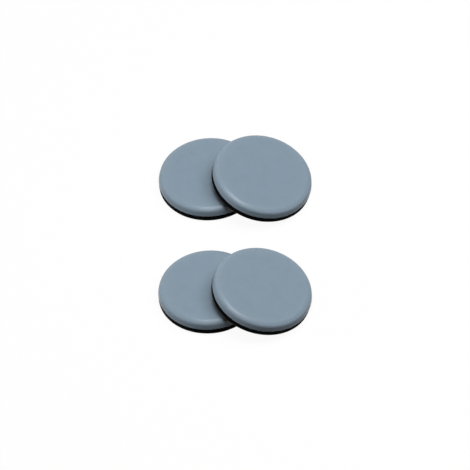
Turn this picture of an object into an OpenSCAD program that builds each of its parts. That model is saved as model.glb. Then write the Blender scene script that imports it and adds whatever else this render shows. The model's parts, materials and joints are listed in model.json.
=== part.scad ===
// Set of round self-adhesive furniture sliders, lying on a table in leaning pairs.
// A slider is a low-friction cap formed over a rubber core, with double-sided tape and
// a peel-off liner underneath. All lie with the glide face up.
// The origin is on the table, below the middle of the set. The pairs lie along Y.

/* [Glide cap] */
// Diameter over the lip, the widest part of a slider
slider_d = 40; // [30:0.5:60]
// Height from the lip's lower edge to the glide face
cap_h = 3.7; // [3.3:0.1:6]
// Thickness of the formed skin
skin_t = 1; // [0.6:0.1:1.2]
// Radius of the rounded rim round the glide face
rim_r = 2.5; // [1.5:0.1:3]
// How far the rim stands in from the lip
rim_inset = 0.2; // [0.1:0.1:1.2]
// Radius of the bead that ends the lip
lip_r = 0.6; // [0.4:0.05:0.8]

/* [Rubber core] */
// Height of the black band that shows below the cap
band_h = 2.05; // [1:0.05:3]
// How far the band stands in from the lip
band_inset = 0.1; // [0.05:0.05:0.8]
// Radius of the band's lower edge
band_edge_r = 0.15; // [0.1:0.05:0.3]
// Room between the core's plug and the skin round it
plug_clearance = 0.05; // [0.02:0.01:0.1]

/* [Adhesive layers] */
// Thickness of the film that bonds the cap to the core
film_t = 0.15; // [0.05:0.05:0.3]
// Thickness of the double-sided tape
tape_t = 0.15; // [0.1:0.05:1]
// How far the tape and its liner stand in from the band
tape_inset = 0.2; // [0.2:0.05:1]
// Thickness of the release liner
liner_t = 0.1; // [0.05:0.05:0.25]

/* [Arrangement] */
// Gap between the lips of the two flat sliders
pair_gap = 19.1; // [14:0.1:40]
// Distance from a flat slider's lip to the low edge of the one that leans on it
lean_step = 20.1; // [16:0.1:34]
// Direction of the lean, measured from +X
lean_turn = -13.5; // [-25:0.1:25]
// Room left where a leaning slider meets the rim below it
seat_gap = 0.1; // [0.05:0.05:0.3]

/* [Hidden] */
$fn = 96;
PLACES = ["rear_left", "rear_right", "front_left", "front_right"];
PIECES = ["glide_cap", "bond_film", "rubber_core", "adhesive_tape", "release_liner"];

cap_colour = [0.53, 0.60, 0.66];
film_colour = [0.87, 0.84, 0.74];
rubber_colour = [0.06, 0.06, 0.07];
tape_colour = [0.13, 0.13, 0.14];
liner_colour = [0.66, 0.51, 0.36];

// How far a cut runs past the face that it opens
overrun = 0.5;

// Radii of a slider's layers, and their lowest heights above its underside
slider_r = slider_d / 2;
band_r = slider_r - band_inset;
tape_r = band_r - tape_inset;
liner_r = tape_r;
tape_z = liner_t;
band_z = tape_z + tape_t;
lip_z = band_z + band_h;
slider_h = lip_z + cap_h;
ceiling_z = slider_h - skin_t;
plug_top_z = ceiling_z - film_t;

// Centres of the rim's rounding and the lip's bead in a section through the axis
rim_c = [slider_r - rim_inset - rim_r, slider_h - rim_r];
lip_c = [slider_r - lip_r, lip_z + lip_r];

// The cap's side is the line that touches both: its outward normal, and its end at the bead
side_run = lip_c - rim_c;
side_angle = atan2(side_run.y, side_run.x) + acos((rim_r - lip_r) / norm(side_run));
side_n = [cos(side_angle), sin(side_angle)];
bead_touch = lip_c + lip_r * side_n;

// Tilt at which the underside, with its low edge on the table, passes over the rim below
lean_reach = slider_r + lean_step;
rim_run = lean_reach - rim_c.x;
lean_tilt = atan2(rim_c.y, rim_run) + asin((rim_r + seat_gap) / norm([rim_run, rim_c.y]));
lean_shift = lean_reach - liner_r * cos(lean_tilt);
lean_c = [lean_shift * cos(lean_turn), lean_shift * sin(lean_turn), liner_r * sin(lean_tilt)];

// How far a slider reaches from the centre of its underside, in a direction that
// leans towards its axis by the sine given
function reach(axial) =
    let (radial = sqrt(1 - axial * axial))
    max(rim_c.x * radial + rim_c.y * axial + rim_r,
        lip_c.x * radial + lip_c.y * axial + lip_r,
        liner_r * radial);

// Box of one pair, measured from the centre of its flat slider's underside
axial_x = sin(lean_tilt) * cos(lean_turn);
axial_y = sin(lean_tilt) * sin(lean_turn);
pair_low = [min(-slider_r, lean_c.x - reach(-axial_x)), min(-slider_r, lean_c.y - reach(-axial_y))];
pair_high = [max(slider_r, lean_c.x + reach(axial_x)), max(slider_r, lean_c.y + reach(axial_y))];

// Centres of the flat sliders, with the set's box in the middle of the frame
pair_pitch = slider_d + pair_gap;
middle_x = (pair_low.x + pair_high.x) / 2;
middle_y = (pair_low.y + pair_high.y) / 2;
rear_c = [-middle_x, pair_pitch / 2 - middle_y, 0];
front_c = [-middle_x, -pair_pitch / 2 - middle_y, 0];

// Moves a slider's piece from the slider's own frame to its place in the set
module seat(place) {
    is_rear = place == "rear_left" || place == "rear_right";
    leans = place == "rear_right" || place == "front_right";
    translate(is_rear ? rear_c : front_c)
        translate(leans ? lean_c : [0, 0, 0])
            rotate([0, 0, leans ? lean_turn : 0])
                rotate([0, leans ? lean_tilt : 0, 0])
                    children();
}

// Half section of what lies inside the cap's outer face by the inset, down to the foot
module inner_section(inset, top_z, foot_z) {
    round_r = rim_r - inset;
    round_c = [rim_c.x, top_z - round_r];
    touch = round_c + round_r * side_n;
    foot_x = touch.x + (touch.y - foot_z) * side_n.y / side_n.x;
    polygon([[0, foot_z], [foot_x, foot_z], touch, [round_c.x, top_z], [0, top_z]]);
    intersection() {
        translate(round_c)
            circle(round_r);
        translate([0, foot_z])
            square([slider_r, top_z - foot_z]);
    }
}

module glide_cap() {
    color(cap_colour)
        rotate_extrude()
            difference() {
                union() {
                    inner_section(0, slider_h, bead_touch.y);
                    polygon([[0, lip_z], [lip_c.x, lip_z], bead_touch, [0, bead_touch.y]]);
                    translate(lip_c)
                        circle(lip_r);
                }
                inner_section(skin_t, ceiling_z, lip_z - overrun);
            }
}

module bond_film() {
    color(film_colour)
        translate([0, 0, plug_top_z])
            cylinder(h = film_t, r = rim_c.x);
}

module rubber_core() {
    edge_c = [band_r - band_edge_r, band_z + band_edge_r];
    color(rubber_colour)
        rotate_extrude()
            union() {
                inner_section(skin_t + plug_clearance, plug_top_z, lip_z);
                polygon([[0, band_z], [edge_c.x, band_z], [band_r, edge_c.y], [band_r, lip_z], [0, lip_z]]);
                translate(edge_c)
                    circle(band_edge_r);
            }
}

module adhesive_tape() {
    color(tape_colour)
        translate([0, 0, tape_z])
            cylinder(h = tape_t, r = tape_r);
}

module release_liner() {
    color(liner_colour)
        cylinder(h = liner_t, r = liner_r);
}

for (place = PLACES) {
    seat(place) glide_cap();
    seat(place) bond_film();
    seat(place) rubber_core();
    seat(place) adhesive_tape();
    seat(place) release_liner();
}
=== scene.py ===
import json
import math

import bmesh
import bpy
from mathutils import Matrix, Vector


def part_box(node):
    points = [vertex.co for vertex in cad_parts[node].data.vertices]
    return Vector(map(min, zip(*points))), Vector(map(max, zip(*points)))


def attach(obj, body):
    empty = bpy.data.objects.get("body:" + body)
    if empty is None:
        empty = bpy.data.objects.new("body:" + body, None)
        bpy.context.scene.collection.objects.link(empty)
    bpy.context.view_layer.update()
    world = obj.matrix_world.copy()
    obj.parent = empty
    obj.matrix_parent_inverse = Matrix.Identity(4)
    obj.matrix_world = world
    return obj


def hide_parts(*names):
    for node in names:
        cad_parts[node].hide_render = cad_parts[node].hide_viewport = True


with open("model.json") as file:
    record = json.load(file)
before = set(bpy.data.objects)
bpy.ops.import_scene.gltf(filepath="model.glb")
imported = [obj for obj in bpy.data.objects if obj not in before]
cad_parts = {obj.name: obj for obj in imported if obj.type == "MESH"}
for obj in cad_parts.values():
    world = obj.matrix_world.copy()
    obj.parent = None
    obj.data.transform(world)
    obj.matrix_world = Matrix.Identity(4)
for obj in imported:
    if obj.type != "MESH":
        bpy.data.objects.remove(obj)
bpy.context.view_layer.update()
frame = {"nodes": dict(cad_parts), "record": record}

# Round self-adhesive furniture sliders, lying on a white table in two leaning pairs.
# Lengths are in metres and angles in degrees. A slider is modelled in its own frame, with the
# centre of its underside at the origin and its axis along Z, and is then moved to its place.

# Places of the sliders, and the mount that says where each one lies
FLAT = {"rear_left": "adhesive_face_rear_left", "front_left": "adhesive_face_front_left"}
LEANING = {"rear_right": "glide_face_rear_right", "front_right": "glide_face_front_right"}

# Sizes of one slider, from the frame's boxes
cap_low, cap_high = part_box("glide_cap_rear_left")
core_low, core_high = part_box("rubber_core_rear_left")
tape_low, tape_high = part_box("adhesive_tape_rear_left")
liner_low, liner_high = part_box("release_liner_rear_left")
SLIDER_R = (cap_high.x - cap_low.x) / 2
SLIDER_H = cap_high.z
LIP_Z = cap_low.z
BAND_R = (core_high.x - core_low.x) / 2
BAND_Z = core_low.z
PLUG_TOP_Z = core_high.z
TAPE_R = (tape_high.x - tape_low.x) / 2
LINER_R = (liner_high.x - liner_low.x) / 2
LINER_T = liner_high.z

# Sizes of the section that the boxes don't give
SKIN_T = 0.0010
RIM_R = 0.0025
RIM_INSET = 0.0002
BEAD_R = 0.0006
BAND_EDGE_R = 0.00015
PLUG_CLEARANCE = 0.00005

# The formed skin is a little flatter outside, round the rim, than the frame's single arc
SHOULDER_R = 0.0024
BEVEL = math.radians(24.5)
EDGE_R = 0.00165
EDGE_INSET = 0.00031
EDGE_DROP = 0.00033

# Small unevenness of the real pieces
FACE_DISH = 0.00003
LIP_WAVE = 0.000012
SEAM_RISE = 0.00004
SEAM_HALF_W = 0.00012
BAND_BULGE = 0.00002
SWELL_WAVES = 5
SWELL_SHARE = 0.3
CUT_WAVE = 0.00003
TAPE_EDGE_SHARE = 0.2
LINER_EDGE_SHARE = 0.25

# Steps from one slider to the next, so that no two are alike
PHASE_STEP = 1.7
PATTERN_STEP = 0.061

# Fineness of the meshes
TURN_STEPS = 192
ARC_STEPS = 14
DISC_EDGE_STEPS = 4
SIDE_STEPS = 5
UPPER_BAND_STEPS = 5
LOWER_BAND_STEPS = 4
FACE_SHARES = (0, 0.08, 0.2, 0.35, 0.5, 0.65, 0.78, 0.88, 0.95)
SHARP_ANGLE = 38

# Camera, fitted to the photograph
FRAME_PX = 470
REAR_LEFT_PX = (209.52, 183.10)
VIEW_WIDTH = 0.1854
CAMERA_AZIMUTH = 3.50
CAMERA_ELEVATION = 48.72
CAMERA_ROLL = 4.60
LENS_MM = 1500
SENSOR_MM = 36
CLIP_SPAN = 10


# Section curves, as points with the radius in x and the height in y


def arc(centre, radius, start, end, steps=ARC_STEPS):
    """Points on an arc from one direction to another, in radians, ends included."""
    turns = [start + (end - start) * i / steps for i in range(steps + 1)]
    return [centre + radius * Vector((math.cos(t), math.sin(t))) for t in turns]


def between(first, last, steps):
    """Points that divide a straight stretch, ends left out."""
    return [first.lerp(last, i / steps) for i in range(1, steps)]


# The outer rim turns over a soft shoulder, down a bevel and round an edge into the cap's side. The
# bevel touches the shoulder and the edge, and the side touches the edge and the bead that ends the lip.
UP = math.pi / 2
BEAD_C = Vector((SLIDER_R - BEAD_R, LIP_Z + BEAD_R))
RIM_C = Vector((SLIDER_R - RIM_INSET - RIM_R, SLIDER_H - RIM_R))
EDGE_C = Vector((SLIDER_R - EDGE_INSET - EDGE_R, SLIDER_H - EDGE_DROP - EDGE_R))
shoulder_z = SLIDER_H - SHOULDER_R
bevel_rise = (EDGE_C.y - shoulder_z) * math.cos(BEVEL) + EDGE_R - SHOULDER_R
SHOULDER_C = Vector((EDGE_C.x + bevel_rise / math.sin(BEVEL), shoulder_z))
FACE_R = SHOULDER_C.x


def side_normal(centre, radius):
    """Direction that a side faces, where it touches a rounding above and the lip's bead below."""
    run = BEAD_C - centre
    return math.atan2(run.y, run.x) + math.acos((radius - BEAD_R) / run.length)


OUTER_SIDE = side_normal(EDGE_C, EDGE_R)
INNER_SIDE = side_normal(RIM_C, RIM_R)


def outer_rim():
    """The skin's outer curve from the flat face to the side."""
    shoulder = arc(SHOULDER_C, SHOULDER_R, UP, UP - BEVEL)
    return shoulder + arc(EDGE_C, EDGE_R, UP - BEVEL, OUTER_SIDE)


def inner_rim(inset, top_z):
    """The curve inside the frame's rim by the inset, from a top height to where it meets the band."""
    radius = RIM_R - inset
    curve = arc(Vector((RIM_C.x, top_z - radius)), radius, UP, INNER_SIDE)
    foot_x = curve[-1].x + (curve[-1].y - LIP_Z) * math.tan(INNER_SIDE)
    return curve + [Vector((foot_x, LIP_Z))]


def cap_section():
    """The formed skin, from the middle of its glide face over the rim and lip to its ceiling."""
    face = [Vector((FACE_R * share, SLIDER_H)) for share in FACE_SHARES]
    rim = outer_rim()
    bead = arc(BEAD_C, BEAD_R, OUTER_SIDE, -UP)
    side = between(rim[-1], bead[0], SIDE_STEPS)
    ceiling_z = SLIDER_H - SKIN_T
    return face + rim + side + bead + inner_rim(SKIN_T, ceiling_z)[::-1] + [Vector((0, ceiling_z))]


def core_section():
    """The moulded rubber, from the middle of its top over the plug and the band to its underside."""
    plug = inner_rim(SKIN_T + PLUG_CLEARANCE, PLUG_TOP_Z)
    seam_z = (BAND_Z + LIP_Z) / 2
    shoulder = Vector((BAND_R, LIP_Z))
    edge_c = Vector((BAND_R - BAND_EDGE_R, BAND_Z + BAND_EDGE_R))
    edge = arc(edge_c, BAND_EDGE_R, 0, -UP)
    upper = between(shoulder, Vector((BAND_R, seam_z + SEAM_HALF_W)), UPPER_BAND_STEPS)
    seam = [Vector((BAND_R, seam_z + SEAM_HALF_W)),
            Vector((BAND_R + SEAM_RISE, seam_z)),
            Vector((BAND_R, seam_z - SEAM_HALF_W))]
    lower = between(seam[-1], edge[0], LOWER_BAND_STEPS)
    top, bottom = Vector((0, PLUG_TOP_Z)), Vector((0, BAND_Z))
    return [top] + plug + [shoulder] + upper + seam + lower + edge + [bottom]


def disc_section(radius, low, high, edge_r):
    """A thin disc with slightly rounded edges."""
    upper = arc(Vector((radius - edge_r, high - edge_r)), edge_r, UP, 0, DISC_EDGE_STEPS)
    lower = arc(Vector((radius - edge_r, low + edge_r)), edge_r, 0, -UP, DISC_EDGE_STEPS)
    return [Vector((0, high))] + upper + lower + [Vector((0, low))]


# Unevenness of each piece, as a change to a point at a radius, a turn and a height


def waves(turn, phase, slow, fast, share, fast_phase):
    """Waves round the axis, never below zero: a slow one, and a fast one that is weaker by the share."""
    slow_wave = math.sin(slow * turn + phase)
    fast_wave = math.sin(fast * turn + fast_phase * phase)
    return 1 + share + slow_wave + share * fast_wave


def formed(radius, turn, z, phase):
    """A drawn skin: its face dips a little, and its lip is nowhere quite round."""
    face_share = max(0, 1 - (radius / FACE_R) ** 2)
    lip_share = (SLIDER_H - z) / (SLIDER_H - LIP_Z) * radius / SLIDER_R
    inward = waves(turn, phase, slow=3, fast=7, share=0.6, fast_phase=2)
    return radius - LIP_WAVE * lip_share * inward, z - FACE_DISH * face_share


def moulded(radius, turn, z, phase):
    """A rubber band: it swells a little between its edges."""
    if radius < BAND_R - BAND_EDGE_R or z > LIP_Z:
        return radius, z
    rise = math.sin(math.pi * (z - BAND_Z) / (LIP_Z - BAND_Z))
    swell = 1 + SWELL_SHARE * math.sin(SWELL_WAVES * turn + phase)
    return radius + BAND_BULGE * rise * swell, z


def die_cut(radius, turn, z, phase):
    """A disc cut from a sheet: its edge isn't quite round."""
    inward = waves(turn, phase, slow=4, fast=11, share=0.5, fast_phase=3)
    return radius - CUT_WAVE * inward * radius / TAPE_R, z


def lathe(name, section, uneven, phase, place):
    """Turns a section round the axis into a closed mesh, made uneven, at a slider's place."""
    built = bmesh.new()
    rings = []
    for point in section:
        ring = []
        for i in range(TURN_STEPS if point.x > 0 else 1):
            turn = 2 * math.pi * i / TURN_STEPS
            radius, z = uneven(point.x, turn, point.y, phase)
            ring.append(built.verts.new((radius * math.cos(turn), radius * math.sin(turn), z)))
        rings.append(ring)
    for upper, lower in zip(rings, rings[1:]):
        for i in range(TURN_STEPS):
            j = (i + 1) % TURN_STEPS
            corners = [upper[i % len(upper)], upper[j % len(upper)],
                       lower[j % len(lower)], lower[i % len(lower)]]
            built.faces.new(list(dict.fromkeys(corners)))
    bmesh.ops.recalc_face_normals(built, faces=built.faces)
    bmesh.ops.transform(built, matrix=PLACES[place], verts=built.verts)
    mesh = bpy.data.meshes.new(name)
    built.to_mesh(mesh)
    built.free()
    mesh.shade_smooth()
    mesh.set_sharp_from_angle(angle=math.radians(SHARP_ANGLE))
    piece = bpy.data.objects.new(name, mesh)
    bpy.context.scene.collection.objects.link(piece)
    return piece


# Places of the sliders in the frame


def flat_place(mount):
    """Frame of a slider that lies flat, from the mount on its underside."""
    return Matrix.Translation(Vector(mount["pos_m"]))


def leaning_place(mount):
    """Frame of a slider that leans, from the mount on its glide face. X runs down the slope."""
    axis = Vector(mount["axis"]).normalized()
    across = Vector((0, 0, 1)).cross(axis).normalized()
    down = across.cross(axis)
    turned = Matrix((down, across, axis)).transposed().to_4x4()
    return Matrix.Translation(Vector(mount["pos_m"]) - SLIDER_H * axis) @ turned


mounts = {mount["name"]: mount for mount in frame["record"]["mounts"]}
PLACES = {place: flat_place(mounts[name]) for place, name in FLAT.items()}
PLACES |= {place: leaning_place(mounts[name]) for place, name in LEANING.items()}


# Materials


def add(tree, kind, inputs=None, **settings):
    """A new node, with its settings, and its inputs as values or as sockets to join."""
    node = tree.nodes.new(kind)
    for key, value in settings.items():
        setattr(node, key, value)
    for key, value in (inputs or {}).items():
        if isinstance(value, bpy.types.NodeSocket):
            tree.links.new(value, node.inputs[key])
        else:
            node.inputs[key].default_value = value
    return node


def start_material(name, place, shift):
    """A material, its shader and its coordinates: the slider's own frame, shifted to vary the pattern."""
    material = bpy.data.materials.new(f"{name}_{place}")
    material.use_nodes = True
    tree = material.node_tree
    shader = tree.nodes["Principled BSDF"]
    own = add(tree, "ShaderNodeTexCoord").outputs["Object"]
    put = PLACES[place]
    local = add(tree, "ShaderNodeMapping", {"Vector": own, "Location": put.translation,
                                            "Rotation": put.to_euler()}, vector_type="TEXTURE")
    varied = add(tree, "ShaderNodeVectorMath", {0: local.outputs[0], 1: (shift, -shift, 0)},
                 operation="ADD")
    return material, tree, shader, local.outputs[0], varied.outputs[0]


def noise(tree, vector, size, detail=3.0, stretch=(1, 1, 1)):
    """Noise whose features are about the given size, longer along an axis stretched below 1."""
    scaled = add(tree, "ShaderNodeMapping", {"Vector": vector, "Scale": stretch})
    found = add(tree, "ShaderNodeTexNoise", {"Vector": scaled.outputs[0], "Scale": 1 / size,
                                             "Detail": detail})
    return found.outputs["Fac"]


def spread(tree, value, low, high, start=0.3, end=0.7):
    """The value's usual span moved to run from low to high."""
    found = add(tree, "ShaderNodeMapRange", {"Value": value, "From Min": start, "From Max": end,
                                             "To Min": low, "To Max": high})
    return found.outputs[0]


def math_node(tree, operation, first, second):
    """A sum done on two values, each given as a number or a socket."""
    return add(tree, "ShaderNodeMath", {0: first, 1: second}, operation=operation).outputs[0]


def blend_colour(tree, share, first, second):
    """A mix of two colours, each given as a value or a socket."""
    mixed = add(tree, "ShaderNodeMix", {0: share, 6: first, 7: second}, data_type="RGBA")
    return mixed.outputs[2]


def join(tree, shader, colour, roughness, height, depth):
    """Gives the shader its colour, its roughness and a relief of that depth."""
    relief = add(tree, "ShaderNodeBump", {"Height": height, "Distance": depth, "Strength": 1.0})
    tree.links.new(colour, shader.inputs["Base Color"])
    tree.links.new(roughness, shader.inputs["Roughness"])
    tree.links.new(relief.outputs[0], shader.inputs["Normal"])


def radius_of(tree, local):
    """Distance from the slider's axis."""
    flat = add(tree, "ShaderNodeVectorMath", {0: local, 1: (1, 1, 0)}, operation="MULTIPLY")
    return add(tree, "ShaderNodeVectorMath", {0: flat.outputs[0]}, operation="LENGTH").outputs["Value"]


SKIN_DARK = (0.216, 0.289, 0.358, 1)
SKIN_PALE = (0.226, 0.300, 0.369, 1)
SKIN_DRAWN = (0.254, 0.329, 0.399, 1)
SKIN_GRAIN_SHARE = 0.5
SKIN_IOR = 1.34


def glide_skin(place, shift):
    """Satin fluoropolymer skin: cloudy grey-blue, with knife lines from the sheet, paler where drawn."""
    material, tree, shader, local, varied = start_material("glide_skin", place, shift)
    cloud = noise(tree, varied, size=0.006, detail=4)
    lines = noise(tree, varied, size=0.0009, detail=5, stretch=(0.04, 1, 1))
    grain = noise(tree, varied, size=0.00012, detail=2)
    tone = math_node(tree, "ADD", spread(tree, cloud, low=0.0, high=0.7),
                     spread(tree, lines, low=0.0, high=0.3))
    plain = blend_colour(tree, tone, SKIN_DARK, SKIN_PALE)
    drawn = spread(tree, radius_of(tree, local), low=0.0, high=0.6,
                   start=FACE_R - SHOULDER_R, end=SLIDER_R)
    colour = blend_colour(tree, drawn, plain, SKIN_DRAWN)
    roughness = math_node(tree, "ADD", spread(tree, cloud, low=0.23, high=0.28),
                          spread(tree, grain, low=0.0, high=0.06))
    height = math_node(tree, "ADD", lines, math_node(tree, "MULTIPLY", grain, SKIN_GRAIN_SHARE))
    join(tree, shader, colour, roughness, height, depth=0.000004)
    shader.inputs["IOR"].default_value = SKIN_IOR
    return material


RUBBER_BLACK = (0.0018, 0.0019, 0.0024, 1)
RUBBER_GREY = (0.0036, 0.0037, 0.0044, 1)
RUBBER_SPECULAR = 0.03


def black_rubber(place, shift):
    """Matt moulded rubber with a fine mould texture and a trace of bloom."""
    material, tree, shader, _, varied = start_material("black_rubber", place, shift)
    bloom = noise(tree, varied, size=0.002, detail=4)
    grain = noise(tree, varied, size=0.00018, detail=3)
    colour = blend_colour(tree, spread(tree, bloom, low=0.0, high=1.0), RUBBER_BLACK, RUBBER_GREY)
    roughness = spread(tree, grain, low=0.80, high=0.95)
    join(tree, shader, colour, roughness, grain, depth=0.00002)
    shader.inputs["Specular IOR Level"].default_value = RUBBER_SPECULAR
    return material


FOAM_BLACK = (0.004, 0.004, 0.005, 1)
FOAM_GREY = (0.009, 0.009, 0.010, 1)
FOAM_CELL = 0.00016
FOAM_SPECULAR = 0.1


def foam_tape(place, shift):
    """Black acrylic foam tape: small closed cells and tacky faces."""
    material, tree, shader, _, varied = start_material("foam_tape", place, shift)
    voronoi = add(tree, "ShaderNodeTexVoronoi", {"Vector": varied, "Scale": 1 / FOAM_CELL})
    cells = voronoi.outputs["Distance"]
    tack = noise(tree, varied, size=0.003, detail=3)
    tone = spread(tree, cells, low=0.0, high=1.0, start=0.1, end=0.8)
    colour = blend_colour(tree, tone, FOAM_BLACK, FOAM_GREY)
    roughness = spread(tree, tack, low=0.5, high=0.7)
    join(tree, shader, colour, roughness, cells, depth=0.00002)
    shader.inputs["Specular IOR Level"].default_value = FOAM_SPECULAR
    return material


KRAFT_PALE = (0.42, 0.265, 0.135, 1)
KRAFT_DARK = (0.36, 0.220, 0.105, 1)
KRAFT_MARK = (0.30, 0.180, 0.085, 1)
CUT_EDGE_W = 0.0002


def liner_paper(place, shift):
    """Silicone-coated kraft paper: faint fibres, and darker along its cut edge."""
    material, tree, shader, local, varied = start_material("liner_paper", place, shift)
    fibres = noise(tree, varied, size=0.0005, detail=6, stretch=(0.35, 1, 1))
    pulp = noise(tree, varied, size=0.004, detail=4)
    tone = math_node(tree, "ADD", spread(tree, fibres, low=0.0, high=0.6),
                     spread(tree, pulp, low=0.0, high=0.4))
    plain = blend_colour(tree, tone, KRAFT_DARK, KRAFT_PALE)
    past_edge = math_node(tree, "SUBTRACT", radius_of(tree, local), LINER_R)
    from_edge = math_node(tree, "ABSOLUTE", past_edge, 0)
    edge = spread(tree, from_edge, low=0.5, high=0.0, start=0.0, end=CUT_EDGE_W)
    colour = blend_colour(tree, edge, plain, KRAFT_MARK)
    roughness = spread(tree, pulp, low=0.32, high=0.42)
    join(tree, shader, colour, roughness, fibres, depth=0.000008)
    return material


FILM_CLEAR = (0.73, 0.67, 0.50, 1)
FILM_CLOUDY = (0.60, 0.54, 0.40, 1)


def bond_film(place, shift):
    """Cured adhesive film, cloudy and uneven."""
    material, tree, shader, _, varied = start_material("bond_film", place, shift)
    cloud = noise(tree, varied, size=0.003, detail=4)
    colour = blend_colour(tree, spread(tree, cloud, low=0.0, high=1.0), FILM_CLEAR, FILM_CLOUDY)
    roughness = spread(tree, cloud, low=0.25, high=0.4)
    join(tree, shader, colour, roughness, cloud, depth=0.00001)
    return material


# Pieces of each slider


def dress(piece, body, node, material):
    """Puts a piece in place of its CAD node, on its body and with its finish."""
    piece.data.materials.append(material)
    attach(piece, body)
    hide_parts(node)


for index, place in enumerate(PLACES):
    phase = PHASE_STEP * index
    shift = PATTERN_STEP * index
    slider, liner = "slider_" + place, "liner_" + place
    cap = lathe("formed_cap_" + place, cap_section(), formed, phase, place)
    dress(cap, slider, "glide_cap_" + place, glide_skin(place, shift))
    core = lathe("moulded_core_" + place, core_section(), moulded, phase, place)
    dress(core, slider, "rubber_core_" + place, black_rubber(place, shift))
    tape_disc = disc_section(TAPE_R, LINER_T, BAND_Z, (BAND_Z - LINER_T) * TAPE_EDGE_SHARE)
    tape = lathe("tape_disc_" + place, tape_disc, die_cut, phase, place)
    dress(tape, slider, "adhesive_tape_" + place, foam_tape(place, shift))
    liner_disc = disc_section(LINER_R, 0, LINER_T, LINER_T * LINER_EDGE_SHARE)
    sheet = lathe("liner_sheet_" + place, liner_disc, die_cut, phase + 1, place)
    dress(sheet, liner, "release_liner_" + place, liner_paper(place, shift))
    film = frame["nodes"]["bond_film_" + place]
    film.data.materials.clear()
    film.data.materials.append(bond_film(place, shift))


# Table, light and camera

FLOOR_HALF = 6.0
FLOOR_DROP = 0.00002
FLOOR_WHITE = (0.97, 0.97, 0.97, 1)
FLOOR_BOUNCE = (0.08, 0.08, 0.08, 1)
WHITE = (1, 1, 1, 1)
SHADOW_SHARE = 0.06
LIT_R = 0.10
FADE_R = 0.45
LAMP_DISTANCE = 0.70
# Each softbox: its turn from +X, its height as an angle, its width, its power in watts and whether
# gloss shows it. The key and fill lights are as soft as light off a wall, so gloss doesn't show them.
SOFTBOXES = {
    "overhead": (106, 89, 0.26, 2.25, True),
    "key": (8, 65, 0.50, 3.10, False),
    "fill": (181, 8, 0.25, 2.25, False),
}


def seen(tree):
    """1 for what the camera sees, also in gloss and through glass, and 0 for light that bounces."""
    path = add(tree, "ShaderNodeLightPath").outputs
    shown = math_node(tree, "MAXIMUM", path["Is Camera Ray"], path["Is Glossy Ray"])
    return math_node(tree, "MAXIMUM", shown, path["Is Transmission Ray"])


def make_floor():
    """A white table top that takes faint shadows and turns into plain white further out."""
    corners = [(-1, -1), (1, -1), (1, 1), (-1, 1)]
    mesh = bpy.data.meshes.new("table_top")
    points = [(FLOOR_HALF * x, FLOOR_HALF * y, -FLOOR_DROP) for x, y in corners]
    mesh.from_pydata(points, [], [(0, 1, 2, 3)])
    floor = bpy.data.objects.new("table_top", mesh)
    bpy.context.scene.collection.objects.link(floor)
    material = bpy.data.materials.new("table_white")
    material.use_nodes = True
    tree = material.node_tree
    tree.nodes.clear()
    own = add(tree, "ShaderNodeTexCoord").outputs["Object"]
    shown = seen(tree)
    colour = blend_colour(tree, shown, FLOOR_BOUNCE, FLOOR_WHITE)
    lit = add(tree, "ShaderNodeBsdfDiffuse", {"Color": colour})
    plain = add(tree, "ShaderNodeEmission", {"Color": WHITE, "Strength": 1.0})
    bright = spread(tree, radius_of(tree, own), low=1 - SHADOW_SHARE, high=1.0, start=LIT_R, end=FADE_R)
    away = math_node(tree, "MULTIPLY", bright, shown)
    surface = add(tree, "ShaderNodeMixShader", {0: away, 1: lit.outputs[0], 2: plain.outputs[0]})
    out = add(tree, "ShaderNodeOutputMaterial")
    tree.links.new(surface.outputs[0], out.inputs["Surface"])
    mesh.materials.append(material)


def make_world():
    """White where it is seen. It gives no light, which comes from the softboxes alone."""
    world = bpy.data.worlds.new("white_room")
    world.use_nodes = True
    tree = world.node_tree
    tree.nodes.clear()
    light = add(tree, "ShaderNodeBackground", {"Color": WHITE, "Strength": seen(tree)})
    out = add(tree, "ShaderNodeOutputWorld")
    tree.links.new(light.outputs[0], out.inputs["Surface"])
    bpy.context.scene.world = world


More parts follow.
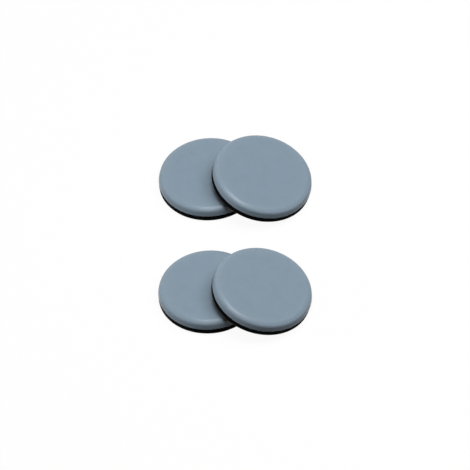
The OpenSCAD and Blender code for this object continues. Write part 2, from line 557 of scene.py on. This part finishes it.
def make_softbox(name, turn, height, size, watts, in_gloss):
    """A square area light that faces the middle of the set."""
    turn, height = math.radians(turn), math.radians(height)
    towards = Vector((math.cos(turn) * math.cos(height), math.sin(turn) * math.cos(height),
                      math.sin(height)))
    lamp = bpy.data.lights.new(name, "AREA")
    lamp.shape = "SQUARE"
    lamp.size = size
    lamp.energy = watts
    box = bpy.data.objects.new(name, lamp)
    box.visible_glossy = in_gloss
    box.location = LAMP_DISTANCE * towards
    box.rotation_euler = towards.to_track_quat("Z", "Y").to_euler()
    bpy.context.scene.collection.objects.link(box)


def make_camera():
    """The photograph's view: a long lens, turned a little about its axis."""
    azimuth, elevation = math.radians(CAMERA_AZIMUTH), math.radians(CAMERA_ELEVATION)
    level = Vector((math.cos(azimuth), math.sin(azimuth), 0))
    back = Vector((math.sin(azimuth) * math.cos(elevation),
                   -math.cos(azimuth) * math.cos(elevation), math.sin(elevation)))
    upright = back.cross(level)
    roll = math.radians(CAMERA_ROLL)
    right = math.cos(roll) * level - math.sin(roll) * upright
    up = math.sin(roll) * level + math.cos(roll) * upright
    distance = VIEW_WIDTH * LENS_MM / SENSOR_MM
    known = PLACES["rear_left"].translation
    per_px = VIEW_WIDTH / FRAME_PX * (1 - known.dot(back) / distance)
    aside, above = REAR_LEFT_PX[0] - FRAME_PX / 2, FRAME_PX / 2 - REAR_LEFT_PX[1]
    aim = known - per_px * (aside * right + above * up)
    aim -= aim.dot(back) * back
    camera = bpy.data.objects.new("camera", bpy.data.cameras.new("camera"))
    camera.data.lens = LENS_MM
    camera.data.sensor_width = SENSOR_MM
    camera.data.clip_start = distance / CLIP_SPAN
    camera.data.clip_end = distance * CLIP_SPAN
    turned = Matrix((right, up, back)).transposed().to_4x4()
    camera.matrix_world = Matrix.Translation(aim + distance * back) @ turned
    bpy.context.scene.collection.objects.link(camera)
    bpy.context.scene.camera = camera


make_camera()
make_floor()
make_world()
for name, settings in SOFTBOXES.items():
    make_softbox(name, *settings)
bpy.context.scene.view_settings.view_transform = "Standard"
